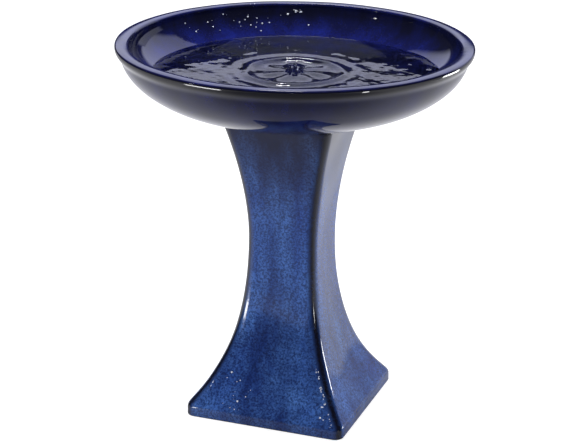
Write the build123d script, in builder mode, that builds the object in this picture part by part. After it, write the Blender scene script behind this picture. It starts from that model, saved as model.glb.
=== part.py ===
from build123d import *

import os
from math import sqrt

# Glazed stoneware bird bath: a round bowl standing on a square, waisted pedestal.
# Millimetres, +Z up, origin on the ground under the middle of the pedestal.

# Whole object
overall_height = 496.0
bowl_diameter = 460.0
base_side = 219.0

# Pedestal
block_height = 14.0  # upright band round the foot
waist_height = 234.0
waist_side = 95.0
deck_height = 404.0  # top face, which carries the bowl
deck_side = 150.6
deck_thickness = 14.0
deck_hole_radius = 46.0
wall = 12.0  # measured level, so it is thinner where the side slopes
arris_radius = 12.5
cavity_corner_radius = 6.0
block_edge_radius = 15.0  # has to be more than the arris radius
deck_edge_radius = 4.0
foot_edge_radius = 1.5

# How the side bends: run and rise of the curve's handles
flare_run = 12.5  # at the block, where the side leaves outwards
flare_rise = 19.0
waist_rise_below = 156.0  # at the waist, where the side is upright
waist_rise_above = 67.0
deck_run = 11.4  # at the deck
deck_rise = 40.0

# Soft ring between the pedestal and the bowl
seat_height = 2.0
seat_inner_radius = 50.0
seat_outer_radius = 60.0
seat_edge_radius = 0.8

# Bowl, outside
lip_crown = 0.9  # rise of the lip's top between its two edges
lip_shoulder_drop = 5.0  # from the rim down to where the lip turns under
lip_root_drop = 16.0  # from the rim down to where the lip meets the wall
lip_edge_radius = 2.7
lip_shoulder_radius = 4.0
lip_root_blend = 12.0
belly_drop = 5.0  # from the rim down to the level where the wall is upright
belly_radius = 224.5
flat_radius = 70.0  # flat underside
locating_ring_outer = 43.0
locating_ring_inner = 33.0
locating_ring_depth = 12.0
locating_ring_edge_radius = 3.0
locating_ring_root_radius = 2.0

# Bowl, inside
mouth_radius = 212.5
mouth_drop = 4.0  # from the rim down to the level where the inside starts
mouth_edge_radius = 3.0
basin_depth = 70.0  # from that level to the floor

bowl_bottom = deck_height + seat_height

os.makedirs("parts", exist_ok=True)


def side_section(plane, inset):
    """The pedestal's upright section on a plane, with its sides moved in by inset."""
    foot = base_side / 2 - inset
    waist = waist_side / 2 - inset
    deck = deck_side / 2 - inset
    with BuildSketch(plane) as section:
        with BuildLine():
            Line((0, 0), (foot, 0))
            Line((foot, 0), (foot, block_height))
            Bezier(
                (foot, block_height),
                (foot - flare_run, block_height + flare_rise),
                (waist, waist_height - waist_rise_below),
                (waist, waist_height),
            )
            Bezier(
                (waist, waist_height),
                (waist, waist_height + waist_rise_above),
                (deck - deck_run, deck_height - deck_rise),
                (deck, deck_height),
            )
            Line((deck, deck_height), (0, deck_height))
            mirror(about=Plane.YZ)
        make_face()
        for side in (-foot, foot):
            round_corners(section, side, block_height, block_edge_radius)
    return section.sketch


def round_corners(section, x, y, radius):
    """Rounds the corner of the open sketch that lies within a millimetre of x, y."""
    corner = section.vertices().filter_by(lambda v: abs(v.X - x) < 1 and abs(v.Y - y) < 1)
    fillet(corner, radius)


def corner_edges(edges):
    """The edges that run up the four corners, which lie on the diagonals seen from above."""
    return edges.filter_by(lambda e: abs(abs(e.center().X) - abs(e.center().Y)) < 0.01)


# Hollow of the pedestal: the side section run through both ways, kept where the two meet
with BuildPart() as cavity:
    extrude(side_section(Plane.XZ, wall), amount=base_side, both=True)
    extrude(side_section(Plane.YZ, wall), amount=base_side, both=True, mode=Mode.INTERSECT)
    split(bisect_by=Plane.XY.offset(deck_height - deck_thickness), keep=Keep.BOTTOM)
    fillet(corner_edges(cavity.edges()), cavity_corner_radius)

# Pedestal
with BuildPart() as pedestal:
    extrude(side_section(Plane.XZ, 0), amount=base_side, both=True)
    extrude(side_section(Plane.YZ, 0), amount=base_side, both=True, mode=Mode.INTERSECT)
    fillet(corner_edges(pedestal.edges()), arris_radius)
    fillet(pedestal.faces().sort_by(Axis.Z)[-1].edges(), deck_edge_radius)
    fillet(pedestal.faces().sort_by(Axis.Z)[0].edges(), foot_edge_radius)
    add(cavity.part, mode=Mode.SUBTRACT)
    with Locations((0, 0, deck_height)):
        Hole(deck_hole_radius, depth=deck_thickness * 2)
pedestal.part.label = "pedestal"
export_step(pedestal.part, "parts/pedestal.step")

# Seat ring
with BuildPart() as seat_ring:
    with BuildSketch(Plane.XZ):
        with Locations(((seat_inner_radius + seat_outer_radius) / 2, deck_height + seat_height / 2)):
            RectangleRounded(seat_outer_radius - seat_inner_radius, seat_height, seat_edge_radius)
    revolve(axis=Axis.Z)
seat_ring.part.label = "seat_ring"
export_step(seat_ring.part, "parts/seat_ring.step")

# Bowl
belly_height = overall_height - belly_drop
mouth_height = overall_height - mouth_drop
ring_bottom = bowl_bottom - locating_ring_depth
lip_radius = bowl_diameter / 2
lip_edge = overall_height - lip_crown
lip_shoulder = overall_height - lip_shoulder_drop
lip_root = overall_height - lip_root_drop
root_share = (belly_height - lip_root) / (belly_height - bowl_bottom)
root_radius = flat_radius + (belly_radius - flat_radius) * sqrt(1 - root_share**2)

with BuildPart() as bowl:
    with BuildSketch(Plane.XZ) as half_section:
        # From the flat underside up the wall, filled to the middle
        with BuildLine():
            EllipticalCenterArc(
                (flat_radius, belly_height),
                belly_radius - flat_radius,
                belly_height - bowl_bottom,
                start_angle=-90,
                arc_size=90,
            )
            Polyline(
                (belly_radius, belly_height),
                (0, belly_height),
                (0, bowl_bottom),
                (flat_radius, bowl_bottom),
            )
        make_face()
        # The thickened lip, with a crowned top and an underside that slopes in to the wall
        with BuildLine():
            ThreePointArc(
                (mouth_radius, lip_edge),
                ((mouth_radius + lip_radius) / 2, overall_height),
                (lip_radius, lip_edge),
            )
            Polyline(
                (lip_radius, lip_edge),
                (lip_radius, lip_shoulder),
                (root_radius, lip_root),
                (mouth_radius, lip_root),
                (mouth_radius, lip_edge),
            )
        make_face()
        # The ring that drops into the deck's hole
        with Locations(((locating_ring_outer + locating_ring_inner) / 2, bowl_bottom)):
            Rectangle(locating_ring_outer - locating_ring_inner, locating_ring_depth * 2)
        # The hollow
        with BuildLine():
            EllipticalCenterArc((0, mouth_height), mouth_radius, basin_depth, start_angle=-90, arc_size=90)
            Polyline(
                (mouth_radius, mouth_height),
                (mouth_radius, overall_height),
                (0, overall_height),
                (0, mouth_height - basin_depth),
            )
        make_face(mode=Mode.SUBTRACT)
        round_corners(half_section, lip_radius, lip_edge, lip_edge_radius)
        round_corners(half_section, lip_radius, lip_shoulder, lip_shoulder_radius)
        round_corners(half_section, root_radius, lip_root, lip_root_blend)
        round_corners(half_section, mouth_radius, lip_edge, mouth_edge_radius)
        for radius in (locating_ring_inner, locating_ring_outer):
            round_corners(half_section, radius, bowl_bottom, locating_ring_root_radius)
            round_corners(half_section, radius, ring_bottom, locating_ring_edge_radius)
    revolve(axis=Axis.Z)
bowl.part.label = "bowl"
export_step(bowl.part, "parts/bowl.step")
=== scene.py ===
import math

import bpy
import numpy as np
from mathutils import Matrix, Vector


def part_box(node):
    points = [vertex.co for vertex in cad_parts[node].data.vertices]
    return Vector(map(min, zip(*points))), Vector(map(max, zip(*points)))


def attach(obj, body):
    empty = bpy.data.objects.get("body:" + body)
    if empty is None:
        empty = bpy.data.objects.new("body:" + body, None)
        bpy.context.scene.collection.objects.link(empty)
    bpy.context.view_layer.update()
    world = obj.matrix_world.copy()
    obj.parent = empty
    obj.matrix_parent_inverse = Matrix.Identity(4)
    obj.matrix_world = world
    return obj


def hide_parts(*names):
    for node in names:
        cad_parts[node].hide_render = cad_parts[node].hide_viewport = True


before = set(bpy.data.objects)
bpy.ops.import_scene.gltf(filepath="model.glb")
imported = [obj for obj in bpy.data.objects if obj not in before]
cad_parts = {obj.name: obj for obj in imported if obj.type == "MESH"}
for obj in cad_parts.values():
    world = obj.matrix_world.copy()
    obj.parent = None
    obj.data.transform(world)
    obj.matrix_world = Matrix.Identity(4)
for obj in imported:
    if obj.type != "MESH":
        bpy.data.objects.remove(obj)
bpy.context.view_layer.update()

scene = bpy.context.scene
bowlLow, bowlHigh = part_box("bowl")
pedestalLow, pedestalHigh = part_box("pedestal")
rimHeight = bowlHigh.z
bowlRadius = (bowlHigh.x - bowlLow.x) / 2
deckHeight = pedestalHigh.z
footHalf = pedestalHigh.x
print("frame loaded: rim", round(rimHeight, 4), "deck", round(deckHeight, 4))


def arc(centre, radius, fromDegrees, toDegrees, count, radiusUp=None):
    # points of a circle or ellipse round a centre, in (across, up), between two angles
    angle = np.radians(np.linspace(fromDegrees, toDegrees, count))
    up = radius if radiusUp is None else radiusUp
    return np.column_stack([centre[0] + radius * np.cos(angle), centre[1] + up * np.sin(angle)])


def straight(start, end, count):
    # evenly spaced points from start to end
    return np.linspace(np.array(start, float), np.array(end, float), count)


def bezier(points, count):
    # cubic curve from four handles: p0 (1-t)^3 + 3 p1 (1-t)^2 t + 3 p2 (1-t) t^2 + p3 t^3
    t = np.linspace(0, 1, count)[:, None]
    p = np.array(points, float)
    return (1 - t) ** 3 * p[0] + 3 * (1 - t) ** 2 * t * p[1] + 3 * (1 - t) * t * t * p[2] + t ** 3 * p[3]


def joinRuns(runs):
    # runs end to end, without a point that lies on the one before it
    points = np.vstack(runs)
    apart = np.linalg.norm(np.diff(points, axis=0), axis=1) > 1e-6
    return points[np.concatenate([[True], apart])]


def hump(away, width):
    # smooth hump, 1 at its middle: e to the power of minus (distance / width) squared
    return np.exp(-(away / width) ** 2)


def waves(points, settings):
    # sum of plane waves in random directions: sin(k . p + phase), wavelength spread round one size
    rng = np.random.default_rng(settings["seed"])
    count = settings["waves"]
    direction = rng.normal(size=(count, 3))
    direction /= np.linalg.norm(direction, axis=1, keepdims=True)
    length = settings["length"] * rng.uniform(0.6, 1.7, count)
    phase = rng.uniform(0, 2 * np.pi, count)
    swing = np.sin(points @ (direction * (2 * np.pi / length)[:, None]).T + phase)
    return swing.sum(-1) * settings["height"] / math.sqrt(count)


def gridNormals(points, wrapRows, wrapColumns):
    # cross product of the differences along rows and columns, wrapped where the grid closes
    def difference(axis, wrap):
        if wrap:
            return np.roll(points, -1, axis) - np.roll(points, 1, axis)
        return np.gradient(points, axis=axis)
    normal = np.cross(difference(1, wrapColumns), difference(0, wrapRows))
    size = np.linalg.norm(normal, axis=-1, keepdims=True)
    return normal / np.maximum(size, 1e-12)


def gridFaces(rows, columns, wrapRows=False, wrapColumns=True):
    # four-cornered faces of a grid, whose last row or column joins the first where it wraps
    row = np.arange(rows if wrapRows else rows - 1)[:, None]
    column = np.arange(columns if wrapColumns else columns - 1)[None, :]
    nextRow = (row + 1) % rows
    nextColumn = (column + 1) % columns
    corners = (row * columns + column, row * columns + nextColumn,
               nextRow * columns + nextColumn, nextRow * columns + column)
    return np.stack(corners, -1).reshape(-1, 4)


def poleFaces(ring, pole, flip):
    # a fan of triangles from one ring of points to a pole
    following = np.roll(ring, -1)
    middle = np.full_like(ring, pole)
    order = (following, ring, middle) if flip else (ring, following, middle)
    return np.stack(order, -1)


def capFaces(rows, columns, flip):
    # both ends of a grid closed to its two poles, which are the two points after the grid's own
    ring = np.arange(columns)
    return np.vstack([poleFaces(ring, rows * columns, flip),
                      poleFaces(ring + (rows - 1) * columns, rows * columns + 1, not flip)])


def makePiece(name, points, quads, triangles, materials, attributes=None, faceMaterial=None):
    # one mesh object at the origin, smooth, from arrays of points and faces
    mesh = bpy.data.meshes.new(name)
    quads = np.asarray(quads, dtype=np.int64).reshape(-1, 4)
    triangles = np.asarray(triangles, dtype=np.int64).reshape(-1, 3)
    loops = np.concatenate([quads.ravel(), triangles.ravel()])
    starts = np.concatenate([np.arange(len(quads)) * 4, len(quads) * 4 + np.arange(len(triangles)) * 3])
    mesh.vertices.add(len(points))
    mesh.vertices.foreach_set("co", np.asarray(points, np.float32).ravel())
    mesh.loops.add(len(loops))
    mesh.loops.foreach_set("vertex_index", loops.astype(np.int32))
    mesh.polygons.add(len(starts))
    mesh.polygons.foreach_set("loop_start", starts.astype(np.int32))
    if faceMaterial is not None:
        mesh.polygons.foreach_set("material_index", np.asarray(faceMaterial, np.int32))
    mesh.update(calc_edges=True)
    mesh.validate()
    mesh.polygons.foreach_set("use_smooth", np.ones(len(mesh.polygons), bool))
    for key, values in (attributes or {}).items():
        layer = mesh.attributes.new(key, "FLOAT", "POINT")
        layer.data.foreach_set("value", np.asarray(values, np.float32))
    for material in materials:
        mesh.materials.append(material)
    piece = bpy.data.objects.new(name, mesh)
    scene.collection.objects.link(piece)
    return piece


def addNode(tree, kind, inputs=None, **settings):
    node = tree.nodes.new(kind)
    for key, value in settings.items():
        setattr(node, key, value)
    for key, value in (inputs or {}).items():
        if isinstance(value, bpy.types.NodeSocket):
            tree.links.new(value, node.inputs[key])
        else:
            node.inputs[key].default_value = value
    return node


def ramp(tree, factor, stops):
    # colour ramp from (place, value) stops, where a value is a grey number or a colour
    node = addNode(tree, "ShaderNodeValToRGB", {"Fac": factor})
    elements = node.color_ramp.elements
    while len(elements) < len(stops):
        elements.new(0.5)
    for element, (place, value) in zip(elements, stops):
        element.position = place
        element.color = (value, value, value, 1) if isinstance(value, (int, float)) else (*value, 1)
    return node.outputs["Color"]


def fadeIn(tree, factor, span):
    # 0 below the first number of the span, 1 above the second
    return ramp(tree, factor, [(span[0], 0.0), (span[1], 1.0)])


def mixColour(tree, factor, first, second, blend="MIX"):
    node = tree.nodes.new("ShaderNodeMix")
    node.data_type = "RGBA"
    node.blend_type = blend
    for socket, value in ((node.inputs[0], factor), (node.inputs[6], first), (node.inputs[7], second)):
        if isinstance(value, bpy.types.NodeSocket):
            tree.links.new(value, socket)
        elif isinstance(value, (int, float)):
            socket.default_value = value
        else:
            socket.default_value = (*value, 1)
    return node.outputs[2]


def combine(tree, operation, first, second, clamp=False):
    node = tree.nodes.new("ShaderNodeMath")
    node.operation = operation
    node.use_clamp = clamp
    for socket, value in ((node.inputs[0], first), (node.inputs[1], second)):
        if isinstance(value, bpy.types.NodeSocket):
            tree.links.new(value, socket)
        else:
            socket.default_value = value
    return node.outputs[0]


def newGroup(name, inputs, outputs):
    # shader node group with named sockets: {name: (kind, default)} in, {name: kind} out
    group = bpy.data.node_groups.new(name, "ShaderNodeTree")
    kinds = {"number": "NodeSocketFloat", "colour": "NodeSocketColor", "vector": "NodeSocketVector"}
    for key, (kind, default) in inputs.items():
        socket = group.interface.new_socket(key, in_out="INPUT", socket_type=kinds[kind])
        if default is not None:
            socket.default_value = (*default, 1) if kind == "colour" else default
    for key, kind in outputs.items():
        group.interface.new_socket(key, in_out="OUTPUT", socket_type=kinds[kind])
    return group, addNode(group, "NodeGroupInput").outputs, addNode(group, "NodeGroupOutput").inputs


def newMaterial(name):
    material = bpy.data.materials.new(name)
    material.use_nodes = True
    tree = material.node_tree
    shader = tree.nodes["Principled BSDF"]
    return material, tree, shader


glazeLook = {
    "speckLength": 0.0014,   # metres across one grain of colour
    "cloudLength": 0.035,    # metres across one cloud of thicker glaze
    "runStretch": 0.22,      # under 1 draws the clouds out downwards
    "cloudSpan": (0.3, 0.72),     # cloud noise where the pale glaze starts, and where it is full
    "grainSpan": (0.4, 0.58),     # the same for the fine grains
    "fleckSpan": (0.15, 0.55),    # and for the clear glaze round each dark fleck
    "fleckDepth": 0.45,
    "toneSwing": 0.9,        # how far the clouds push the tone up and down
    "edgeRaggedness": 0.6,
    "edgeSpan": (0.3, 0.62),
}
surfaceLook = {
    "peelScale": 90.0,
    "pitScale": 60.0,
    "pitSpan": (0.02, 0.09),  # how wide the pinholes open
    "bumpDistance": 0.0004,
}
glassIndex = 1.52
waterIndex = 1.333


def buildGlazeGroup():
    # reactive glaze: fine dark grains over clouds that ran down, darkened by the Edge mask, which holds glaze
    # that ran thin together with painted shade and painted dark reflection
    group, given, result = newGroup(
        "reactiveGlaze",
        {
            "Position": ("vector", None),
            "Deep": ("colour", (0.004, 0.007, 0.04)),
            "Middle": ("colour", (0.012, 0.04, 0.2)),
            "Pale": ("colour", (0.05, 0.15, 0.42)),
            "Edge": ("number", 0.0),
            "Edge Colour": ("colour", (0.003, 0.003, 0.006)),
            "Speckle": ("number", 1.0),
            "Cloud": ("number", 1.0),
            "Tone": ("number", 1.0),
        },
        {"Colour": "colour", "Thickness": "number"},
    )
    run = addNode(group, "ShaderNodeMapping", {
        "Vector": given["Position"], "Scale": (1, 1, glazeLook["runStretch"])})
    clouds = addNode(group, "ShaderNodeTexNoise", {
        "Vector": run.outputs[0], "Scale": 1 / glazeLook["cloudLength"], "Detail": 5.0, "Roughness": 0.62})
    grains = addNode(group, "ShaderNodeTexNoise", {
        "Vector": given["Position"], "Scale": 0.5 / glazeLook["speckLength"],
        "Detail": 3.0, "Roughness": 0.7})
    flecks = addNode(group, "ShaderNodeTexVoronoi", {
        "Vector": given["Position"], "Scale": 0.45 / glazeLook["speckLength"], "Randomness": 1.0})
    cloudLevel = fadeIn(group, clouds.outputs["Fac"], glazeLook["cloudSpan"])
    grainLevel = fadeIn(group, grains.outputs["Fac"], glazeLook["grainSpan"])
    fleckLevel = fadeIn(group, flecks.outputs["Distance"], glazeLook["fleckSpan"])
    cloudPart = combine(group, "MULTIPLY", cloudLevel, given["Cloud"])
    cloudSwing = combine(group, "SUBTRACT", clouds.outputs["Fac"], 0.5)
    toneChange = combine(group, "MULTIPLY", cloudSwing, glazeLook["toneSwing"])
    toned = combine(group, "ADD", given["Tone"], toneChange, clamp=True)
    base = mixColour(group, toned, given["Deep"], mixColour(group, cloudPart, given["Middle"], given["Pale"]))
    bareGrain = combine(group, "SUBTRACT", 1.0, grainLevel)
    darkening = combine(group, "MULTIPLY", bareGrain, given["Speckle"], clamp=True)
    spotted = mixColour(group, darkening, base, given["Deep"])
    fleck = combine(group, "SUBTRACT", 1.0, fleckLevel)
    fleckDepth = combine(group, "MULTIPLY", fleck, glazeLook["fleckDepth"])
    fleckPart = combine(group, "MULTIPLY", fleckDepth, given["Speckle"])
    flecked = mixColour(group, fleckPart, spotted, given["Deep"])
    grainSwing = combine(group, "SUBTRACT", grains.outputs["Fac"], 0.5)
    edgeChange = combine(group, "MULTIPLY", grainSwing, glazeLook["edgeRaggedness"])
    ragged = combine(group, "ADD", given["Edge"], edgeChange)
    edgeLevel = fadeIn(group, ragged, glazeLook["edgeSpan"])
    finished = mixColour(group, edgeLevel, flecked, given["Edge Colour"])
    group.links.new(finished, result["Colour"])
    group.links.new(combine(group, "MULTIPLY", clouds.outputs["Fac"], grainLevel), result["Thickness"])
    return group


def buildSurfaceGroup():
    # orange-peel unevenness and pinholes of a fired glaze, as one height
    group, given, result = newGroup(
        "firedSurface",
        {"Position": ("vector", None), "Peel": ("number", 1.0), "Pinholes": ("number", 1.0)},
        {"Height": "number"},
    )
    peel = addNode(group, "ShaderNodeTexNoise", {
        "Vector": given["Position"], "Scale": surfaceLook["peelScale"], "Detail": 2.0, "Roughness": 0.5})
    pits = addNode(group, "ShaderNodeTexVoronoi", {
        "Vector": given["Position"], "Scale": surfaceLook["pitScale"], "Randomness": 1.0})
    pitLevel = fadeIn(group, pits.outputs["Distance"], surfaceLook["pitSpan"])
    peelPart = combine(group, "MULTIPLY", peel.outputs["Fac"], given["Peel"])
    pitPart = combine(group, "MULTIPLY", pitLevel, given["Pinholes"])
    group.links.new(combine(group, "ADD", peelPart, pitPart), result["Height"])
    return group


glazeGroup = buildGlazeGroup()
surfaceGroup = buildSurfaceGroup()


def useGroup(tree, group, inputs):
    return addNode(tree, "ShaderNodeGroup", inputs, node_tree=group)


def makeGlaze(name, look, shine=0.5):
    # the piece's own attributes: edge is where the glaze ran thin, together with painted shade and painted
    # dark reflection; tone is how much of its blue comes out, with painted light and shade in it
    material, tree, shader = newMaterial(name)
    place = addNode(tree, "ShaderNodeTexCoord").outputs["Object"]
    edge = addNode(tree, "ShaderNodeAttribute", attribute_name="edge").outputs["Fac"]
    tone = addNode(tree, "ShaderNodeAttribute", attribute_name="tone").outputs["Fac"]
    glaze = useGroup(tree, glazeGroup, {
        "Position": place, "Edge": edge, "Tone": tone, "Speckle": look["speckle"], "Cloud": look["cloud"],
        "Deep": (*look["deep"], 1), "Middle": (*look["middle"], 1), "Pale": (*look["pale"], 1),
        "Edge Colour": (*look["edge"], 1)})
    surface = useGroup(tree, surfaceGroup, {
        "Position": place, "Peel": look["peel"], "Pinholes": look["pinholes"]})
    bump = addNode(tree, "ShaderNodeBump", {
        "Height": surface.outputs["Height"], "Strength": look["bump"],
        "Distance": surfaceLook["bumpDistance"]})
    tree.links.new(glaze.outputs["Colour"], shader.inputs["Base Color"])
    tree.links.new(bump.outputs["Normal"], shader.inputs["Normal"])
    shader.inputs["Roughness"].default_value = look["roughness"]
    shader.inputs["IOR"].default_value = glassIndex
    shader.inputs["Specular IOR Level"].default_value = shine
    return material


# edge is the near-black colour for the edge mask: glaze that ran thin, painted shade and painted dark
# reflection
pedestalLook = {
    "deep": (0.005, 0.009, 0.04), "middle": (0.013, 0.048, 0.27), "pale": (0.08, 0.2, 0.56),
    "edge": (0.003, 0.003, 0.008), "speckle": 0.75, "cloud": 0.9,
    "peel": 0.5, "pinholes": 0.3, "bump": 0.25, "roughness": 0.1,
}
bowlLook = {
    "deep": (0.003, 0.0035, 0.014), "middle": (0.006, 0.008, 0.11), "pale": (0.01, 0.022, 0.25),
    "edge": (0.003, 0.003, 0.006), "speckle": 0.45, "cloud": 0.6,
    "peel": 0.5, "pinholes": 0.6, "bump": 0.2, "roughness": 0.06,
}
pedestalGlaze = makeGlaze("pedestalGlaze", pedestalLook)
bowlGlaze = makeGlaze("bowlGlaze", bowlLook)
wetGlaze = makeGlaze("bowlGlazeUnderWater", bowlLook, shine=0.05)  # water takes nearly all of its shine


def makeBareClay(name):
    material, tree, shader = newMaterial(name)
    place = addNode(tree, "ShaderNodeTexCoord").outputs["Object"]
    grog = addNode(tree, "ShaderNodeTexNoise", {"Vector": place, "Scale": 420.0, "Detail": 4.0})
    stain = addNode(tree, "ShaderNodeTexNoise", {"Vector": place, "Scale": 24.0, "Detail": 3.0})
    colour = ramp(tree, grog.outputs["Fac"], [(0.3, (0.12, 0.075, 0.045)), (0.7, (0.3, 0.2, 0.13))])
    stainLevel = ramp(tree, stain.outputs["Fac"], [(0.4, 0.0), (0.7, 0.6)])
    stained = mixColour(tree, stainLevel, colour, (0.07, 0.05, 0.045))
    tree.links.new(stained, shader.inputs["Base Color"])
    bump = addNode(tree, "ShaderNodeBump", {
        "Height": grog.outputs["Fac"], "Strength": 0.5, "Distance": 0.0006})
    tree.links.new(bump.outputs["Normal"], shader.inputs["Normal"])
    shader.inputs["Roughness"].default_value = 0.85
    return material


bareClay = makeBareClay("bareClay")
print("glaze and clay ready")


bowlShape = {
    "undersideHeight": deckHeight + 0.002,   # on the seat ring
    "flatRadius": 0.070,
    "bellyRadius": 0.2245,
    "bellyDrop": 0.005,
    "lipCrown": 0.0009,
    "lipEdge": 0.0027,
    "lipShoulderDrop": 0.0045,
    "lipRootDrop": 0.0185,
    "lipRootPull": 0.42,     # how far the lip's underside bends before it meets the wall
    "mouthRadius": 0.2125,
    "mouthDrop": 0.004,
    "mouthEdge": 0.003,
    "basinDepth": 0.070,
    "ringOuter": 0.043,
    "ringInner": 0.033,
    "ringEdge": 0.003,
    "ringRoot": 0.002,
    "waterDrop": 0.039,
    "bareRadius": 0.062,     # of the unglazed underside
    "unevenness": {"seed": 3, "waves": 14, "length": 0.11, "height": 0.00025},
    "evenAbove": (0.004, 0.01),   # above the underside, where the unevenness starts, and its rise to full
    "thinAndShadedBand": (0.0065, 0.0055, 0.008),  # glaze that ran thin, with a painted dark reflection under the outer lip: drop from the rim, spread, reach inwards
    # how much blue comes out, by drop from the rim; inside, the dark below the water is painted shade
    "insideToneAndShade": ((0.0, 0.3), (0.004, 0.05), (0.014, 0.02), (0.026, 0.2), (0.037, 0.42), (0.046, 0.08)),
    "outsideTone": ((0.0, 0.3), (0.012, 0.1), (0.03, 0.2), (0.09, 0.35)),
    "paintedLitSide": (0.35, 150),  # painted light: how much brighter one side of the inside is, and that side's bearing
    "segments": 360,
}


def lipTop(shape):
    # crowned top: one large circle through both edges, met by a small circle at each edge
    inner, outer, crown = shape["mouthRadius"], bowlRadius, shape["lipCrown"]
    middle, half = (inner + outer) / 2, (outer - inner) / 2
    large = (half ** 2 + crown ** 2) / (2 * crown)
    centre = (middle, rimHeight - large)
    runs = []
    for side, radius, turns in ((1, shape["lipEdge"], (0, None)), (-1, shape["mouthEdge"], (None, 180))):
        across = half - radius
        up = math.sqrt((large - radius) ** 2 - across ** 2)
        meet = math.degrees(math.atan2(up, side * across))
        start, end = (meet if turn is None else turn for turn in turns)
        runs.append((arc((middle + side * across, centre[1] + up), radius, start, end, 10), meet))
    (outerRun, outerMeet), (innerRun, innerMeet) = runs
    return [outerRun, arc(centre, large, outerMeet, innerMeet, 14), innerRun]


def bowlProfile(shape):
    # half section in (radius, height), from the middle of the underside round the lip to the basin's floor
    under = shape["undersideHeight"]
    ringLow = bowlLow.z
    inner, outer = shape["ringInner"], shape["ringOuter"]
    edge, root = shape["ringEdge"], shape["ringRoot"]
    belly = rimHeight - shape["bellyDrop"]
    mouthZ = rimHeight - shape["mouthDrop"]
    wallUp = belly - under
    wallOut = shape["bellyRadius"] - shape["flatRadius"]
    rootAngle = math.asin((shape["lipRootDrop"] - shape["bellyDrop"]) / wallUp)
    wall = arc((shape["flatRadius"], belly), wallOut, -90, -math.degrees(rootAngle), 70, wallUp)
    leaving = (wall[-1] - wall[-2]) / np.linalg.norm(wall[-1] - wall[-2])
    shoulder = (bowlRadius, rimHeight - shape["lipShoulderDrop"])
    reach = (shape["lipRootDrop"] - shape["lipShoulderDrop"]) * shape["lipRootPull"]
    runs = [
        straight((0.0, under), (inner - root, under), 12)[1:],
        arc((inner - root, under - root), root, 90, 0, 5),
        straight((inner, under - root), (inner, ringLow + edge), 5),
        arc((inner + edge, ringLow + edge), edge, 180, 270, 6),
        straight((inner + edge, ringLow), (outer - edge, ringLow), 3),
        arc((outer - edge, ringLow + edge), edge, 270, 360, 6),
        straight((outer, ringLow + edge), (outer, under - root), 5),
        arc((outer + root, under - root), root, 180, 90, 5),
        straight((outer + root, under), (shape["flatRadius"], under), 8),
        wall,
        bezier([wall[-1], wall[-1] + leaving * reach, (shoulder[0], shoulder[1] - reach), shoulder], 16),
        *lipTop(shape),
        arc((0.0, mouthZ), shape["mouthRadius"], 0, -90, 90, shape["basinDepth"])[:-1],
    ]
    return joinRuns(runs)


def revolve(profile, segments):
    # profile turned about the upright axis: (r cos a, r sin a, z)
    angle = np.linspace(0, 2 * np.pi, segments, endpoint=False)
    radius = profile[:, 0][:, None]
    height = np.broadcast_to(profile[:, 1][:, None], (len(profile), segments))
    return np.stack([radius * np.cos(angle), radius * np.sin(angle), height], -1)


def makeBowl(shape):
    # the profile turned about the axis, then moved along its normal by waves, except near the seat
    profile = bowlProfile(shape)
    grid = revolve(profile, shape["segments"])
    normal = gridNormals(grid, False, True)
    fromMiddle = grid - np.array([0, 0, grid[..., 2].mean()])
    outward = 1 if (normal * fromMiddle).sum(-1).mean() > 0 else -1
    start, full = shape["evenAbove"]
    moved = np.clip((grid[..., 2] - shape["undersideHeight"] - start) / full, 0, 1)
    grid = grid + normal * (waves(grid, shape["unevenness"]) * moved)[..., None] * outward
    rows, columns = grid.shape[:2]
    floorHeight = rimHeight - shape["mouthDrop"] - shape["basinDepth"]
    poles = np.array([[0.0, 0.0, shape["undersideHeight"]], [0.0, 0.0, floorHeight]])
    radius, height = profile[:, 0], profile[:, 1]
    depth = rimHeight - height
    inside = np.arange(rows) > int(np.argmax(height))
    # painted dark reflection under the outer lip, over glaze that ran thin there
    bandDrop, bandSpread, bandReach = shape["thinAndShadedBand"]
    edge = hump(depth - bandDrop, bandSpread) * (radius > bowlRadius - bandReach)
    insideToneAndShade = np.interp(depth, *zip(*shape["insideToneAndShade"]))
    outsideTone = np.interp(depth, *zip(*shape["outsideTone"]))
    # painted light: one side of the inside is painted brighter
    gain, litBearing = shape["paintedLitSide"]
    around = np.linspace(0, 2 * np.pi, columns, endpoint=False)
    paintedLight = 1 + gain * np.cos(around - math.radians(litBearing)) * inside[:, None]
    tone = np.clip(np.where(inside, insideToneAndShade, outsideTone)[:, None] * paintedLight, 0, 1)
    attributes = {"edge": np.concatenate([np.repeat(edge, columns), [0.0, 0.0]]),
                  "tone": np.concatenate([tone.ravel(), [tone[0].mean(), tone[-1].mean()]])}
    row = np.repeat(np.arange(rows - 1), columns)
    bare = (radius[row] < shape["bareRadius"]) & (height[row] < shape["undersideHeight"] + 0.001)
    wet = inside[row] & (height[row] < rimHeight - shape["waterDrop"])
    faceMaterial = np.concatenate([np.where(wet, 2, bare), np.ones(columns), np.full(columns, 2)])
    piece = makePiece("glazedBowl", np.vstack([grid.reshape(-1, 3), poles]), gridFaces(rows, columns),
                      capFaces(rows, columns, True), [bowlGlaze, bareClay, wetGlaze],
                      attributes, faceMaterial)
    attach(piece, "bowl")
    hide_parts("bowl")


makeBowl(bowlShape)
print("bowl made")


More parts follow.
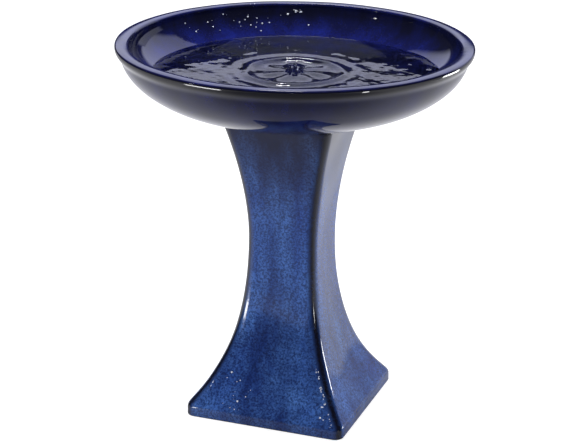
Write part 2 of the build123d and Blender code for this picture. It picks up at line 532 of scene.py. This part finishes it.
pedestalShape = {
    "wall": 0.012,
    "blockHeight": 0.014,
    "blockBend": 0.015,
    "waistHeight": 0.234,
    "waistHalf": 0.0475,
    "deckHalf": 0.0753,
    "deckThickness": 0.014,
    "deckEdge": 0.004,
    "footEdge": 0.0015,
    "holeRadius": 0.046,
    "arris": 0.0125,
    "cavityCorner": 0.006,
    # how the side bends: run and rise of its curves' handles
    "flareHandle": (0.0125, 0.019),
    "waistRiseBelow": 0.156,
    "waistRiseAbove": 0.067,
    "deckHandle": (0.0114, 0.04),
    "unevenness": {"seed": 8, "waves": 16, "length": 0.09, "height": 0.00035},
    "evenEnds": 0.02,        # the unevenness fades out over this height at the foot and the deck
    # where glaze ran thin and dark, with a painted dark reflection along the arrises and painted shade at the
    # deck under the bowl and at the floor line: strength and reach
    "arrisThinAndReflection": (0.62, 0.0115),
    "deckShade": (0.8, 0.004),
    "floorLineShade": (0.7, 0.0018),
    # how much blue comes out, by height; its fall to nothing at the top is painted shade under the bowl
    "toneAndShadeByHeight": (
        (0.0, 0.5), (0.03, 0.6), (0.11, 0.5), (0.2, 0.85), (0.27, 0.85), (0.34, 0.3), (0.404, 0.0)),
    # painted highlight: a paler streak beside each arris
    "arrisSheen": (0.4, 0.6, 0.13),   # paler streak: strength, place from a side's middle to its arris, spread
    "glazedDeckRows": 4,
    "denseBelow": 0.03,      # the rows stand closer together under this height
    "sideSteps": 26,
    "arcSteps": 12,
}


def sideCurve(inset, shape):
    # half width against height: upright block, then two cubic curves that meet upright at the waist
    foot, waist, deck = footHalf - inset, shape["waistHalf"] - inset, shape["deckHalf"] - inset
    block, middle = shape["blockHeight"], shape["waistHeight"]
    flareRun, flareRise = shape["flareHandle"]
    deckRun, deckRise = shape["deckHandle"]
    flare = bezier([(foot, block), (foot - flareRun, block + flareRise),
                    (waist, middle - shape["waistRiseBelow"]), (waist, middle)], 400)
    neck = bezier([(waist, middle), (waist, middle + shape["waistRiseAbove"]),
                   (deck - deckRun, deckHeight - deckRise), (deck, deckHeight)], 400)
    upright = straight((foot, 0.0), (foot, block), 60)
    return joinRuns([upright, flare, neck])


def halfWidth(heights, inset, shape):
    # side curve read at given heights, as a weighted mean of nine places near the bend above the block
    curve = sideCurve(inset, shape)
    reach = shape["blockBend"] * 0.3
    spread = np.linspace(-1, 1, 9)
    weight = 1 - np.abs(spread) ** 2 * 0.9
    near = hump(heights - shape["blockHeight"], 2 * reach)
    sampled = np.interp(heights[:, None] + spread * reach * near[:, None], curve[:, 1], curve[:, 0])
    return (sampled * weight).sum(1) / weight.sum()


def squareRing(half, corner, shape):
    # rounded squares, one a row, with as many points each: four straight sides and four quarter circles
    half, corner = np.asarray(half)[:, None], np.asarray(corner)[:, None]
    sides = np.linspace(-1, 1, shape["sideSteps"], endpoint=False)[None, :]
    turns = np.radians(np.linspace(0, 90, shape["arcSteps"], endpoint=False))[None, :]
    straightX = half + 0 * sides
    straightY = sides * (half - corner)
    arcX = half - corner + corner * np.cos(turns)
    arcY = half - corner + corner * np.sin(turns)
    quarterX = np.concatenate([straightX, arcX], 1)
    quarterY = np.concatenate([straightY, arcY], 1)
    ringX = np.concatenate([quarterX, -quarterY, -quarterX, quarterY], 1)
    ringY = np.concatenate([quarterY, quarterX, -quarterY, -quarterX], 1)
    return np.stack([ringX, ringY], -1)


def makePedestal(shape):
    # rings all round the wall's section: up the outside, in over the deck, down the hollow, out at the foot
    top, deckEdge, footEdge, dense = deckHeight, shape["deckEdge"], shape["footEdge"], shape["denseBelow"]
    # outside, foot to deck
    heights = np.concatenate([np.linspace(footEdge, dense, 24), np.linspace(dense, top - deckEdge, 150)[1:]])
    outer = halfWidth(heights, 0.0, shape)
    footTurn = np.radians(np.linspace(-90, 0, 5))[:-1]
    footHalfWidths = outer[0] - footEdge + footEdge * np.cos(footTurn)
    footHeights = footEdge + footEdge * np.sin(footTurn)
    deckTurn = np.radians(np.linspace(0, 90, 9))[1:]
    deckHalfWidths = outer[-1] - deckEdge + deckEdge * np.cos(deckTurn)
    deckHeights = top - deckEdge + deckEdge * np.sin(deckTurn)
    half = np.concatenate([footHalfWidths, outer, deckHalfWidths])
    cutBack = np.concatenate([outer[0] - footHalfWidths, 0 * outer, outer[-1] - deckHalfWidths])
    outside = squareRing(half, shape["arris"] - cutBack, shape)
    # deck, from its edge in to the round hole
    angle = np.arctan2(outside[-1, :, 1], outside[-1, :, 0])
    hole = shape["holeRadius"] * np.stack([np.cos(angle), np.sin(angle)], -1)
    share = np.linspace(0, 1, 12)[1:, None, None]
    deck = outside[-1] * (1 - share) + hole * share
    # hollow, deck down to the foot
    under = top - shape["deckThickness"]
    insideHeights = np.linspace(under, 0.0, 110)
    insideHalf = halfWidth(insideHeights, shape["wall"], shape)
    inside = squareRing(insideHalf, np.full(len(insideHalf), shape["cavityCorner"]), shape)
    ceiling = np.concatenate([hole[None], hole * (1 - share[:-1]) + inside[0] * share[:-1]])
    footRim = (inside[-1] + outside[0]) / 2
    flat = np.concatenate([outside, deck, ceiling, inside, footRim[None]])
    level = np.concatenate([footHeights, heights, deckHeights, np.full(len(deck), top),
                            np.full(len(ceiling), under), insideHeights, [0.0]])
    grid = np.concatenate([flat, np.broadcast_to(level[:, None, None], (*flat.shape[:2], 1))], -1)
    # waves along the normal, on the outside alone
    outsideRows = np.arange(len(grid)) < len(outside)
    normal = gridNormals(grid, True, True)
    waist = len(outside) // 2
    outward = np.sign((normal[waist] * grid[waist] * np.array([1, 1, 0])).sum(-1).mean())
    ends = shape["evenEnds"]
    fade = np.clip(level / ends, 0, 1) * np.clip((top - level) / ends, 0, 1) * outsideRows
    grid = grid + normal * outward * (waves(grid, shape["unevenness"]) * fade[:, None])[..., None]
    rows, columns = grid.shape[:2]

    def darkBand(away, setting):
        # strength x hump of the distance, on the outside alone
        strength, reach = setting
        return strength * hump(away, reach) * outsideRows[:, None]

    offDiagonal = np.abs(np.abs(flat[..., 0]) - np.abs(flat[..., 1]))
    # painted shade at the deck under the bowl and at the floor line, and a painted dark reflection along the
    # arrises over glaze that ran thin there
    ends = darkBand(level[:, None] - top, shape["deckShade"]) + darkBand(level[:, None], shape["floorLineShade"])
    edge = np.clip(np.maximum(darkBand(offDiagonal, shape["arrisThinAndReflection"]), ends), 0, 1)
    # painted highlight: a paler streak beside each arris
    strength, place, spread = shape["arrisSheen"]
    fromMiddle = np.abs(flat).min(-1) / np.abs(flat).max(-1)
    arrisSheen = strength * hump(fromMiddle - place, spread)
    # blue by height, with painted shade under the bowl at the top, raised by the painted highlight beside
    # each arris
    tone = np.interp(level, *zip(*shape["toneAndShadeByHeight"]))[:, None] * (1 + arrisSheen)
    bareRows = ~outsideRows
    bareRows[len(outside):len(outside) + shape["glazedDeckRows"]] = False
    faceMaterial = np.repeat(bareRows, columns).astype(int)
    piece = makePiece("glazedPedestal", grid.reshape(-1, 3), gridFaces(rows, columns, True, True), [],
                      [pedestalGlaze, bareClay], {"edge": edge.ravel(), "tone": tone.ravel()}, faceMaterial)
    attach(piece, "pedestal")
    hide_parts("pedestal")


makePedestal(pedestalShape)
print("pedestal made")


def makeRubber(name):
    material, tree, shader = newMaterial(name)
    place = addNode(tree, "ShaderNodeTexCoord").outputs["Object"]
    bloom = addNode(tree, "ShaderNodeTexNoise", {"Vector": place, "Scale": 160.0, "Detail": 4.0})
    colour = ramp(tree, bloom.outputs["Fac"], [(0.35, 0.012), (0.7, 0.035)])
    roughness = ramp(tree, bloom.outputs["Fac"], [(0.3, 0.55), (0.7, 0.8)])
    tree.links.new(colour, shader.inputs["Base Color"])
    tree.links.new(roughness, shader.inputs["Roughness"])
    return material


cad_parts["seat_ring"].data.materials.clear()
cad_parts["seat_ring"].data.materials.append(makeRubber("seatRubber"))
print("seat ring ready")


waterLook = {
    "level": rimHeight - bowlShape["waterDrop"],
    "sinkIntoClay": 0.0006,  # the water's skirt lies this far inside the clay, so no air gap shows
    "ringRadius": 0.062,
    "ringWidth": 0.0065,
    "ringHeight": 0.0021,
    "trough": (0.0016, 0.72, 0.016),      # inside the ring: depth, place as a share of its radius, width
    "wavelets": (0.00035, 0.0042, 0.022, 0.02),   # beyond it: height, length over 2 pi, place, width
    "folds": (0.0007, 7, 0.034, 0.018),   # in the crater: height, how many, radius, width
    "jetHeight": 0.011,
    "jetWidth": 0.003,
    "crownHeight": 0.0035,
    "crownRadius": 0.009,
    "crownWidth": 0.003,
    "chop": {"seed": 11, "waves": 24, "length": 0.016, "height": 0.00006},
    "swell": {"seed": 12, "waves": 12, "length": 0.055, "height": 0.00016},
    "livelySide": (2.0, -20, 0.07, 0.03),   # rougher water: how much, bearing, from which radius, width
    "bankHeight": 0.0034,
    "bankWidth": 0.04,
    "bankBearing": -45,      # where the swell stands highest, in degrees from +X
    "stillBand": 0.012,      # the ripples die out over this width at the wall
    "meniscus": 0.0001,
    "meniscusWidth": 0.002,
    "rings": 220,
    "spokes": 320,
    "skirtRows": 40,
}


def waterHeight(x, y, look):
    # ring + trough + wavelets + folds + jet + crown, each a hump round its own radius, + ripples over all
    radius = np.hypot(x, y)
    angle = np.arctan2(y, x)
    ring = look["ringRadius"] * (1 + 0.02 * np.sin(3 * angle + 1.0) + 0.012 * np.sin(7 * angle))
    beyond = radius - ring
    crest = look["ringHeight"] * hump(beyond, look["ringWidth"])
    depth, place, width = look["trough"]
    trough = -depth * hump(radius - ring * place, width)
    height, length, place, width = look["wavelets"]
    wavelets = height * np.cos(beyond / length) * hump(beyond - place, width)
    height, count, place, width = look["folds"]
    folds = height * np.sin(count * angle + 20 * radius) * hump(radius - place, width)
    jet = look["jetHeight"] * hump(radius, look["jetWidth"] * (1 + 0.25 * np.sin(3 * angle)))
    fingers = np.clip(np.cos(7 * angle + 0.6), 0, 1) + 0.6 * np.clip(np.cos(4 * angle + 2.0), 0, 1)
    crown = look["crownHeight"] * hump(radius - look["crownRadius"], look["crownWidth"]) * (0.25 + fingers)
    points = np.stack([x, y, np.zeros_like(x)], -1)
    ripples = waves(points, look["chop"]) + waves(points, look["swell"])
    gain, bearing, start, width = look["livelySide"]
    facing = np.clip(np.cos(angle - math.radians(bearing)), 0, 1)
    livelier = 1 + gain * facing * np.clip((radius - start) / width, 0, 1)
    return crest + trough + wavelets + folds + jet + crown + ripples * livelier


def waterBank(angle, look):
    # how high the water stands up the wall: a cosine round the bowl, never below 0, made uneven by two sines
    bank = look["bankHeight"] * (0.35 + 0.65 * np.cos(angle - math.radians(look["bankBearing"])))
    return np.clip(bank, 0, None) * (1 + 0.25 * np.sin(9 * angle + 0.4) + 0.15 * np.sin(17 * angle))


def makeWaterMaterial(name):
    material, tree, shader = newMaterial(name)
    shader.inputs["Base Color"].default_value = (0.92, 0.97, 1.0, 1)
    shader.inputs["Roughness"].default_value = 0.0
    shader.inputs["IOR"].default_value = waterIndex
    shader.inputs["Transmission Weight"].default_value = 1.0
    return material


clearWater = makeWaterMaterial("clearWater")


def makeWater(look, shape):
    # top: rings out to the clay; below: the basin's own curve, a little inside the clay
    mouthZ = rimHeight - shape["mouthDrop"]
    depth, sink = shape["basinDepth"], look["sinkIntoClay"]
    share = np.linspace(0, 1, look["rings"] + 1)[1:]
    angle = np.linspace(0, 2 * np.pi, look["spokes"], endpoint=False)
    bank = waterBank(angle, look)
    edgeDown = (mouthZ - look["level"] - bank - look["meniscus"]) / depth
    edgeRadius = shape["mouthRadius"] * np.sqrt(1 - edgeDown ** 2) + sink
    radius = edgeRadius * share[:, None]
    x, y = radius * np.cos(angle), radius * np.sin(angle)
    fromWall = edgeRadius - radius
    ripple = waterHeight(x, y, look) * np.clip(fromWall / look["stillBand"], 0, 1)
    meniscus = look["meniscus"] * np.exp(-fromWall / look["meniscusWidth"])
    climb = np.clip(1 - fromWall / look["bankWidth"], 0, 1) ** 2
    surface = np.stack([x, y, look["level"] + ripple + meniscus + bank * climb], -1)
    edgeTurn = math.asin((mouthZ - look["level"]) / depth)
    turn = np.linspace(edgeTurn, math.pi / 2, look["skirtRows"])[1:-1]
    skirtRadius = (shape["mouthRadius"] + sink) * np.cos(turn)
    skirt = np.column_stack([skirtRadius, mouthZ - (depth + sink) * np.sin(turn)])
    grid = np.concatenate([surface, revolve(skirt, look["spokes"])])
    rows, columns = grid.shape[:2]
    middle = look["level"] + float(waterHeight(np.zeros(1), np.zeros(1), look)[0])
    poles = np.array([[0, 0, middle], [0, 0, mouthZ - depth - sink]])
    piece = makePiece("water", np.vstack([grid.reshape(-1, 3), poles]), gridFaces(rows, columns)[:, ::-1],
                      capFaces(rows, columns, False), [clearWater])
    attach(piece, "bowl")


makeWater(waterLook, bowlShape)
print("water made")


dropLook = {
    "smallest": 0.0004,      # radius of a drop
    "biggest": 0.0014,
    "flatness": 0.8,         # height of a drop on glaze against its radius
    # name: how many, their bearing in degrees and its spread, their fall below the rim and its spread
    "onWall": {
        "left": (14, 138, 8, 0.018, 0.007),
        "middle": (6, 109, 1.2, 0.011, 0.003),
        "between": (5, 124, 4, 0.026, 0.007),
        "around": (10, 132, 16, 0.02, 0.008),
    },
    "wallBand": (0.006, 0.036),  # least and greatest fall of a drop on the wall
    "onLip": (2, 128, 3),    # how many, their bearing and its spread
    "lipInset": 0.002,       # from the lip's inner edge
    # bearing, distance from the axis and height over the water, still in the air
    "thrown": (
        (75, 0.018, 0.010), (140, 0.022, 0.006), (205, 0.014, 0.013), (300, 0.020, 0.008),
        (20, 0.026, 0.005),
    ),
    # name: how many, and from where to where across and up the pedestal's front
    "onFoot": {"left": (16, -0.062, -0.02, 0.018, 0.06), "corner": (34, 0.074, 0.1, 0.016, 0.08)},
    "footCrowding": 1.3,     # over 1 crowds them low down
    "offArris": (0.6, 0.004),    # they keep off the arris: share of its radius, and how far that varies
    "seed": 21,
    "rings": 7,
    "spokes": 12,
}


def makePaleGlintMaterial(name):
    # water painted pale, so each drop is a pale speck and not a clear lens: a painted highlight in place of a
    # drop's glint
    material, tree, shader = newMaterial(name)
    place = addNode(tree, "ShaderNodeTexCoord").outputs["Object"]
    air = addNode(tree, "ShaderNodeTexNoise", {"Vector": place, "Scale": 900.0, "Detail": 2.0})
    tree.links.new(ramp(tree, air.outputs["Fac"], [(0.3, (0.5, 0.58, 0.8)), (0.65, (0.92, 0.95, 1.0))]),
                   shader.inputs["Base Color"])
    shader.inputs["Roughness"].default_value = 0.08
    shader.inputs["IOR"].default_value = waterIndex
    shader.inputs["Transmission Weight"].default_value = 0.25
    return material


def dropGrid(look):
    # unit ball, in rows from pole to pole: (sin t cos a, sin t sin a, cos t)
    tilt = np.linspace(0, np.pi, look["rings"] + 2)[1:-1]
    return revolve(np.column_stack([np.sin(tilt), np.cos(tilt)]), look["spokes"])


def roundAxis(radius, turn, height):
    # rows of x, y, z: (radius cos turn, radius sin turn, height)
    x, y = radius * np.cos(turn), radius * np.sin(turn)
    return np.column_stack([x, y, np.broadcast_to(height, x.shape)])


def makeDrops(look, shape):
    # on the wall, an ellipse's own point and normal; on the lip and in the air, upright
    rng = np.random.default_rng(look["seed"])
    clusters = [(rng.normal(middle, spread, count), rng.normal(fall, fallSpread, count))
                for count, middle, spread, fall, fallSpread in look["onWall"].values()]
    bearing = np.concatenate([cluster[0] for cluster in clusters])
    fall = np.clip(np.concatenate([cluster[1] for cluster in clusters]), *look["wallBand"])
    up = (fall - shape["mouthDrop"]) / shape["basinDepth"]
    out = np.sqrt(1 - up ** 2)
    turn = np.radians(bearing)
    wallSpot = roundAxis(shape["mouthRadius"] * out, turn, rimHeight - fall)
    wallNormal = roundAxis(-out / shape["mouthRadius"], turn, up / shape["basinDepth"])
    count, middle, spread = look["onLip"]
    lipTurn = np.radians(rng.normal(middle, spread, count))
    lipRadius = shape["mouthRadius"] + look["lipInset"]
    lipSpot = roundAxis(lipRadius, lipTurn, rimHeight - shape["lipCrown"] * 0.3)
    airBearing, airRadius, airHeight = np.array(look["thrown"]).T
    airSpot = roundAxis(airRadius, np.radians(airBearing), waterLook["level"] + airHeight)
    spot = np.vstack([wallSpot, lipSpot, airSpot])
    upright = np.broadcast_to([0.0, 0.0, 1.0], (len(lipSpot) + len(airSpot), 3))
    piece = castDrops("drops", look, rng, spot, np.vstack([wallNormal, upright]), len(airSpot))
    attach(piece, "bowl")


def makeFootDrops(look):
    # the pedestal's front is the surface y = -halfWidth(z), whose normal is (0, -1, -slope)
    rng = np.random.default_rng(look["seed"] + 1)
    arrisShare, margin = look["offArris"]
    across, up = [], []
    for count, left, right, low, high in look["onFoot"].values():
        height = low + (high - low) * rng.uniform(0, 1, count) ** look["footCrowding"]
        limit = halfWidth(height, 0.0, pedestalShape) - arrisShare * pedestalShape["arris"]
        share = rng.uniform(0, 1, count)
        across.append(np.minimum(left + (right - left) * share, limit - margin * share))
        up.append(height)
    across, up = np.concatenate(across), np.concatenate(up)
    half = halfWidth(up, 0.0, pedestalShape)
    step = 0.001
    slope = (halfWidth(up + step, 0.0, pedestalShape) - half) / step
    spot = np.column_stack([across, -half, up])
    normal = np.column_stack([np.zeros(len(up)), -np.ones(len(up)), -slope])
    piece = castDrops("footDrops", look, rng, spot, normal, 0)
    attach(piece, "pedestal")


def castDrops(name, look, rng, spot, normal, airborne):
    # the same ball for each: spot + size x (side, other side, flattened normal)
    normal = normal / np.linalg.norm(normal, axis=1, keepdims=True)
    flat = np.where(np.arange(len(spot)) < len(spot) - airborne, look["flatness"], 1.0)
    size = look["smallest"] + (look["biggest"] - look["smallest"]) * rng.uniform(0, 1, len(spot)) ** 2
    anyWay = [0.31, 0.62, 0.17]  # it only has to differ from every normal
    side = np.cross(normal, anyWay)
    side /= np.linalg.norm(side, axis=1, keepdims=True)
    axes = np.stack([side, np.cross(normal, side), normal * flat[:, None]], 1)
    ball = dropGrid(look)
    rows, columns = ball.shape[:2]
    unit = np.vstack([ball.reshape(-1, 3), [[0, 0, 1], [0, 0, -1]]])
    points = spot[:, None] + size[:, None, None] * (unit @ axes)
    quads = gridFaces(rows, columns)[:, ::-1]
    step = (np.arange(len(spot)) * len(unit))[:, None, None]
    return makePiece(name, points.reshape(-1, 3), (quads + step).reshape(-1, 4),
                     (capFaces(rows, columns, False) + step).reshape(-1, 3), [paleGlintWater])


# painted highlight: the drops are painted pale in place of their glints
paleGlintWater = makePaleGlintMaterial("paleGlintWater")
makeDrops(dropLook, bowlShape)
makeFootDrops(dropLook)
print("drops made")


cameraPlace = {
    "distance": 2.414,    # level distance from the object's axis
    "height": 1.120,
    "round": 19.71,       # degrees round from the front, towards +X
    "down": 19.744,       # degrees below level
    "turn": -0.044,       # degrees past the object's axis, and of lean
    "roll": 0.784,
    "lens": 119.0,        # millimetres, on a sensor this wide
    "sensor": 36.0,
    "seesTo": 50.0,
}
studio = {
    "floorColour": (0.5, 0.5, 0.51),
    "floorHalf": 12,
    "skyColour": (0.88, 0.88, 0.89),     # what the camera sees past the floor
    "airColour": (0.035, 0.035, 0.042),  # what the glaze reflects there
    "aimHeight": 0.25,                   # a lamp that hangs higher than this aims at it, a lower one is level
    # bearing from +X, distance from the axis, height, its panel's width and height, watts, seen in the glaze
    "lamps": {
        "overhead": (109.7, 0.5, 2.7, 2.6, 2.6, 125.0, False),
        "leftFill": (-150.0, 2.2, 1.5, 1.4, 1.4, 40.0, False),
        "rightFill": (-10.0, 2.2, 1.5, 1.4, 1.4, 34.0, False),
        "leftBoard": (-125.0, 1.3, 0.09, 0.5, 0.1, 4.0, True),
        "rightBoard": (38.5, 1.3, 0.14, 0.45, 0.12, 4.0, True),
        "smallBoard": (-28.5, 1.3, 0.14, 0.08, 0.1, 0.6, True),
        "sparkle": (112.0, 2.2, 2.45, 0.25, 0.25, 5.0, True),
        "leftGlint": (-135.0, 1.9, 1.3, 0.06, 0.06, 0.9, True),
        "frontGlint": (-71.5, 2.0, 1.27, 0.05, 0.05, 1.0, True),
    },
    # bearing, distance, width, lowest and highest point, fade of the lower edge and of the sides, brightness
    "panels": {
        "backPanel": (97.0, 3.0, 6.6, 1.13, 3.9, 0.24, 1.2, 1.3),
        "sidePanel": (62.0, 3.0, 2.2, 0.0, 1.5, 0.02, 0.3, 0.7),
    },
    "panelColour": (0.84, 0.87, 1.1),
    "greyCard": (1.25, 0.002, 0.7, 1.3),  # reach towards the camera, lift, and where its fade runs
    "cardColour": (0.16, 0.16, 0.175),
    "floorGlow": 0.65,                   # whitens the floor for the camera alone
}


def makeCamera(place):
    # stands off on a circle round the object, level turned to face it, then tipped down
    camera = bpy.data.objects.new("camera", bpy.data.cameras.new("camera"))
    scene.collection.objects.link(camera)
    camera.data.lens = place["lens"]
    camera.data.sensor_width = place["sensor"]
    camera.data.clip_end = place["seesTo"]
    swing = math.radians(place["round"])
    spot = (place["distance"] * math.sin(swing), -place["distance"] * math.cos(swing), place["height"])
    facing = Matrix.Rotation(math.radians(place["round"] + place["turn"]), 4, "Z")
    tip = Matrix.Rotation(math.radians(90 - place["down"]), 4, "X")
    roll = Matrix.Rotation(math.radians(place["roll"]), 4, "Z")
    camera.matrix_world = Matrix.Translation(spot) @ facing @ tip @ roll
    scene.camera = camera


def makeSheet(name, corners, material):
    # flat four-cornered stage piece
    mesh = bpy.data.meshes.new(name)
    mesh.from_pydata(corners, [], [(0, 1, 2, 3)])
    mesh.materials.append(material)
    sheet = bpy.data.objects.new(name, mesh)
    scene.collection.objects.link(sheet)
    return sheet


def squareCorners(half):
    return [(-half, -half, 0), (half, -half, 0), (half, half, 0), (-half, half, 0)]


def makeFloor():
    material, tree, shader = newMaterial("paleFloor")
    shader.inputs["Base Color"].default_value = (*studio["floorColour"], 1)
    shader.inputs["Roughness"].default_value = 0.9
    seen = addNode(tree, "ShaderNodeLightPath").outputs["Is Camera Ray"]
    tree.links.new(mixColour(tree, seen, (0, 0, 0), (1, 1, 1)), shader.inputs["Emission Color"])
    shader.inputs["Emission Strength"].default_value = studio["floorGlow"]
    makeSheet("floor", squareCorners(studio["floorHalf"]), material)


def makeGreyCard():
    # card on the floor before the object that only reflections see, faded at its rim to the floor's colour
    material, tree, shader = newMaterial("greyCard")
    reach, lift, dark, edge = studio["greyCard"]
    place = addNode(tree, "ShaderNodeTexCoord").outputs["Object"]
    away = addNode(tree, "ShaderNodeVectorMath", {0: place}, operation="LENGTH").outputs["Value"]
    fade = addNode(tree, "ShaderNodeMapRange", {"Value": away, "From Min": dark, "From Max": edge})
    fade.interpolation_type = "SMOOTHSTEP"
    colour = mixColour(tree, fade.outputs["Result"], studio["cardColour"], studio["floorColour"])
    tree.links.new(colour, shader.inputs["Base Color"])
    shader.inputs["Specular IOR Level"].default_value = 0.0
    card = makeSheet("greyCard", squareCorners(edge), material)
    swing = Matrix.Rotation(math.radians(cameraPlace["round"]), 4, "Z")
    card.matrix_world = swing @ Matrix.Translation((0, -reach, lift))
    card.visible_camera = card.visible_diffuse = card.visible_shadow = False


def makePanel(name, bearing, distance, width, low, high, fade, sideFade, strength):
    # glowing sheet that faces the object: brightness = rise over its lower edge x fall towards its sides
    material, tree, shader = newMaterial(name)
    place = addNode(tree, "ShaderNodeTexCoord").outputs["Object"]
    apart = addNode(tree, "ShaderNodeSeparateXYZ", {"Vector": place}).outputs
    rise = addNode(tree, "ShaderNodeMapRange", {
        "Value": apart["Z"], "From Min": low, "From Max": low + fade})
    sideways = combine(tree, "ABSOLUTE", apart["Y"], 0.0)
    fall = addNode(tree, "ShaderNodeMapRange", {
        "Value": sideways, "From Min": width / 2, "From Max": width / 2 - sideFade})
    rise.interpolation_type = fall.interpolation_type = "SMOOTHSTEP"
    glow = combine(tree, "MULTIPLY", rise.outputs["Result"], fall.outputs["Result"])
    colour = mixColour(tree, glow, (0, 0, 0), studio["panelColour"])
    tree.links.new(colour, shader.inputs["Emission Color"])
    shader.inputs["Base Color"].default_value = (0, 0, 0, 1)
    shader.inputs["Specular IOR Level"].default_value = 0.0
    shader.inputs["Emission Strength"].default_value = strength
    outline = [(distance, -width / 2, low), (distance, width / 2, low), (distance, width / 2, high),
               (distance, -width / 2, high)]
    panel = makeSheet(name, outline, material)
    panel.matrix_world = Matrix.Rotation(math.radians(bearing), 4, "Z")
    panel.visible_camera = panel.visible_shadow = False


def hangLamp(name, bearing, distance, height, width, tall, watts, shine):
    # light panel that faces the object
    light = bpy.data.lights.new(name, "AREA")
    light.shape = "RECTANGLE"
    light.size, light.size_y = width, tall
    light.energy = watts
    lamp = bpy.data.objects.new(name, light)
    scene.collection.objects.link(lamp)
    turn = math.radians(bearing)
    spot = Vector((distance * math.cos(turn), distance * math.sin(turn), height))
    aim = Vector((0, 0, min(height, studio["aimHeight"])))
    facing = (aim - spot).to_track_quat("-Z", "Y").to_matrix().to_4x4()
    lamp.matrix_world = Matrix.Translation(spot) @ facing
    lamp.visible_camera = False
    lamp.visible_glossy = shine


def makeAir():
    # pale to the camera, dim to everything else
    world = bpy.data.worlds.new("studioAir")
    world.use_nodes = True
    tree = world.node_tree
    seen = addNode(tree, "ShaderNodeLightPath").outputs["Is Camera Ray"]
    colour = mixColour(tree, seen, studio["airColour"], studio["skyColour"])
    tree.links.new(colour, tree.nodes["Background"].inputs["Color"])
    scene.world = world


makeCamera(cameraPlace)
makeFloor()
makeGreyCard()
makeAir()
scene.view_settings.view_transform = "Standard"
for panelName, panelPlace in studio["panels"].items():
    makePanel(panelName, *panelPlace)
for lampName, lampPlace in studio["lamps"].items():
    hangLamp(lampName, *lampPlace)
print("studio ready")
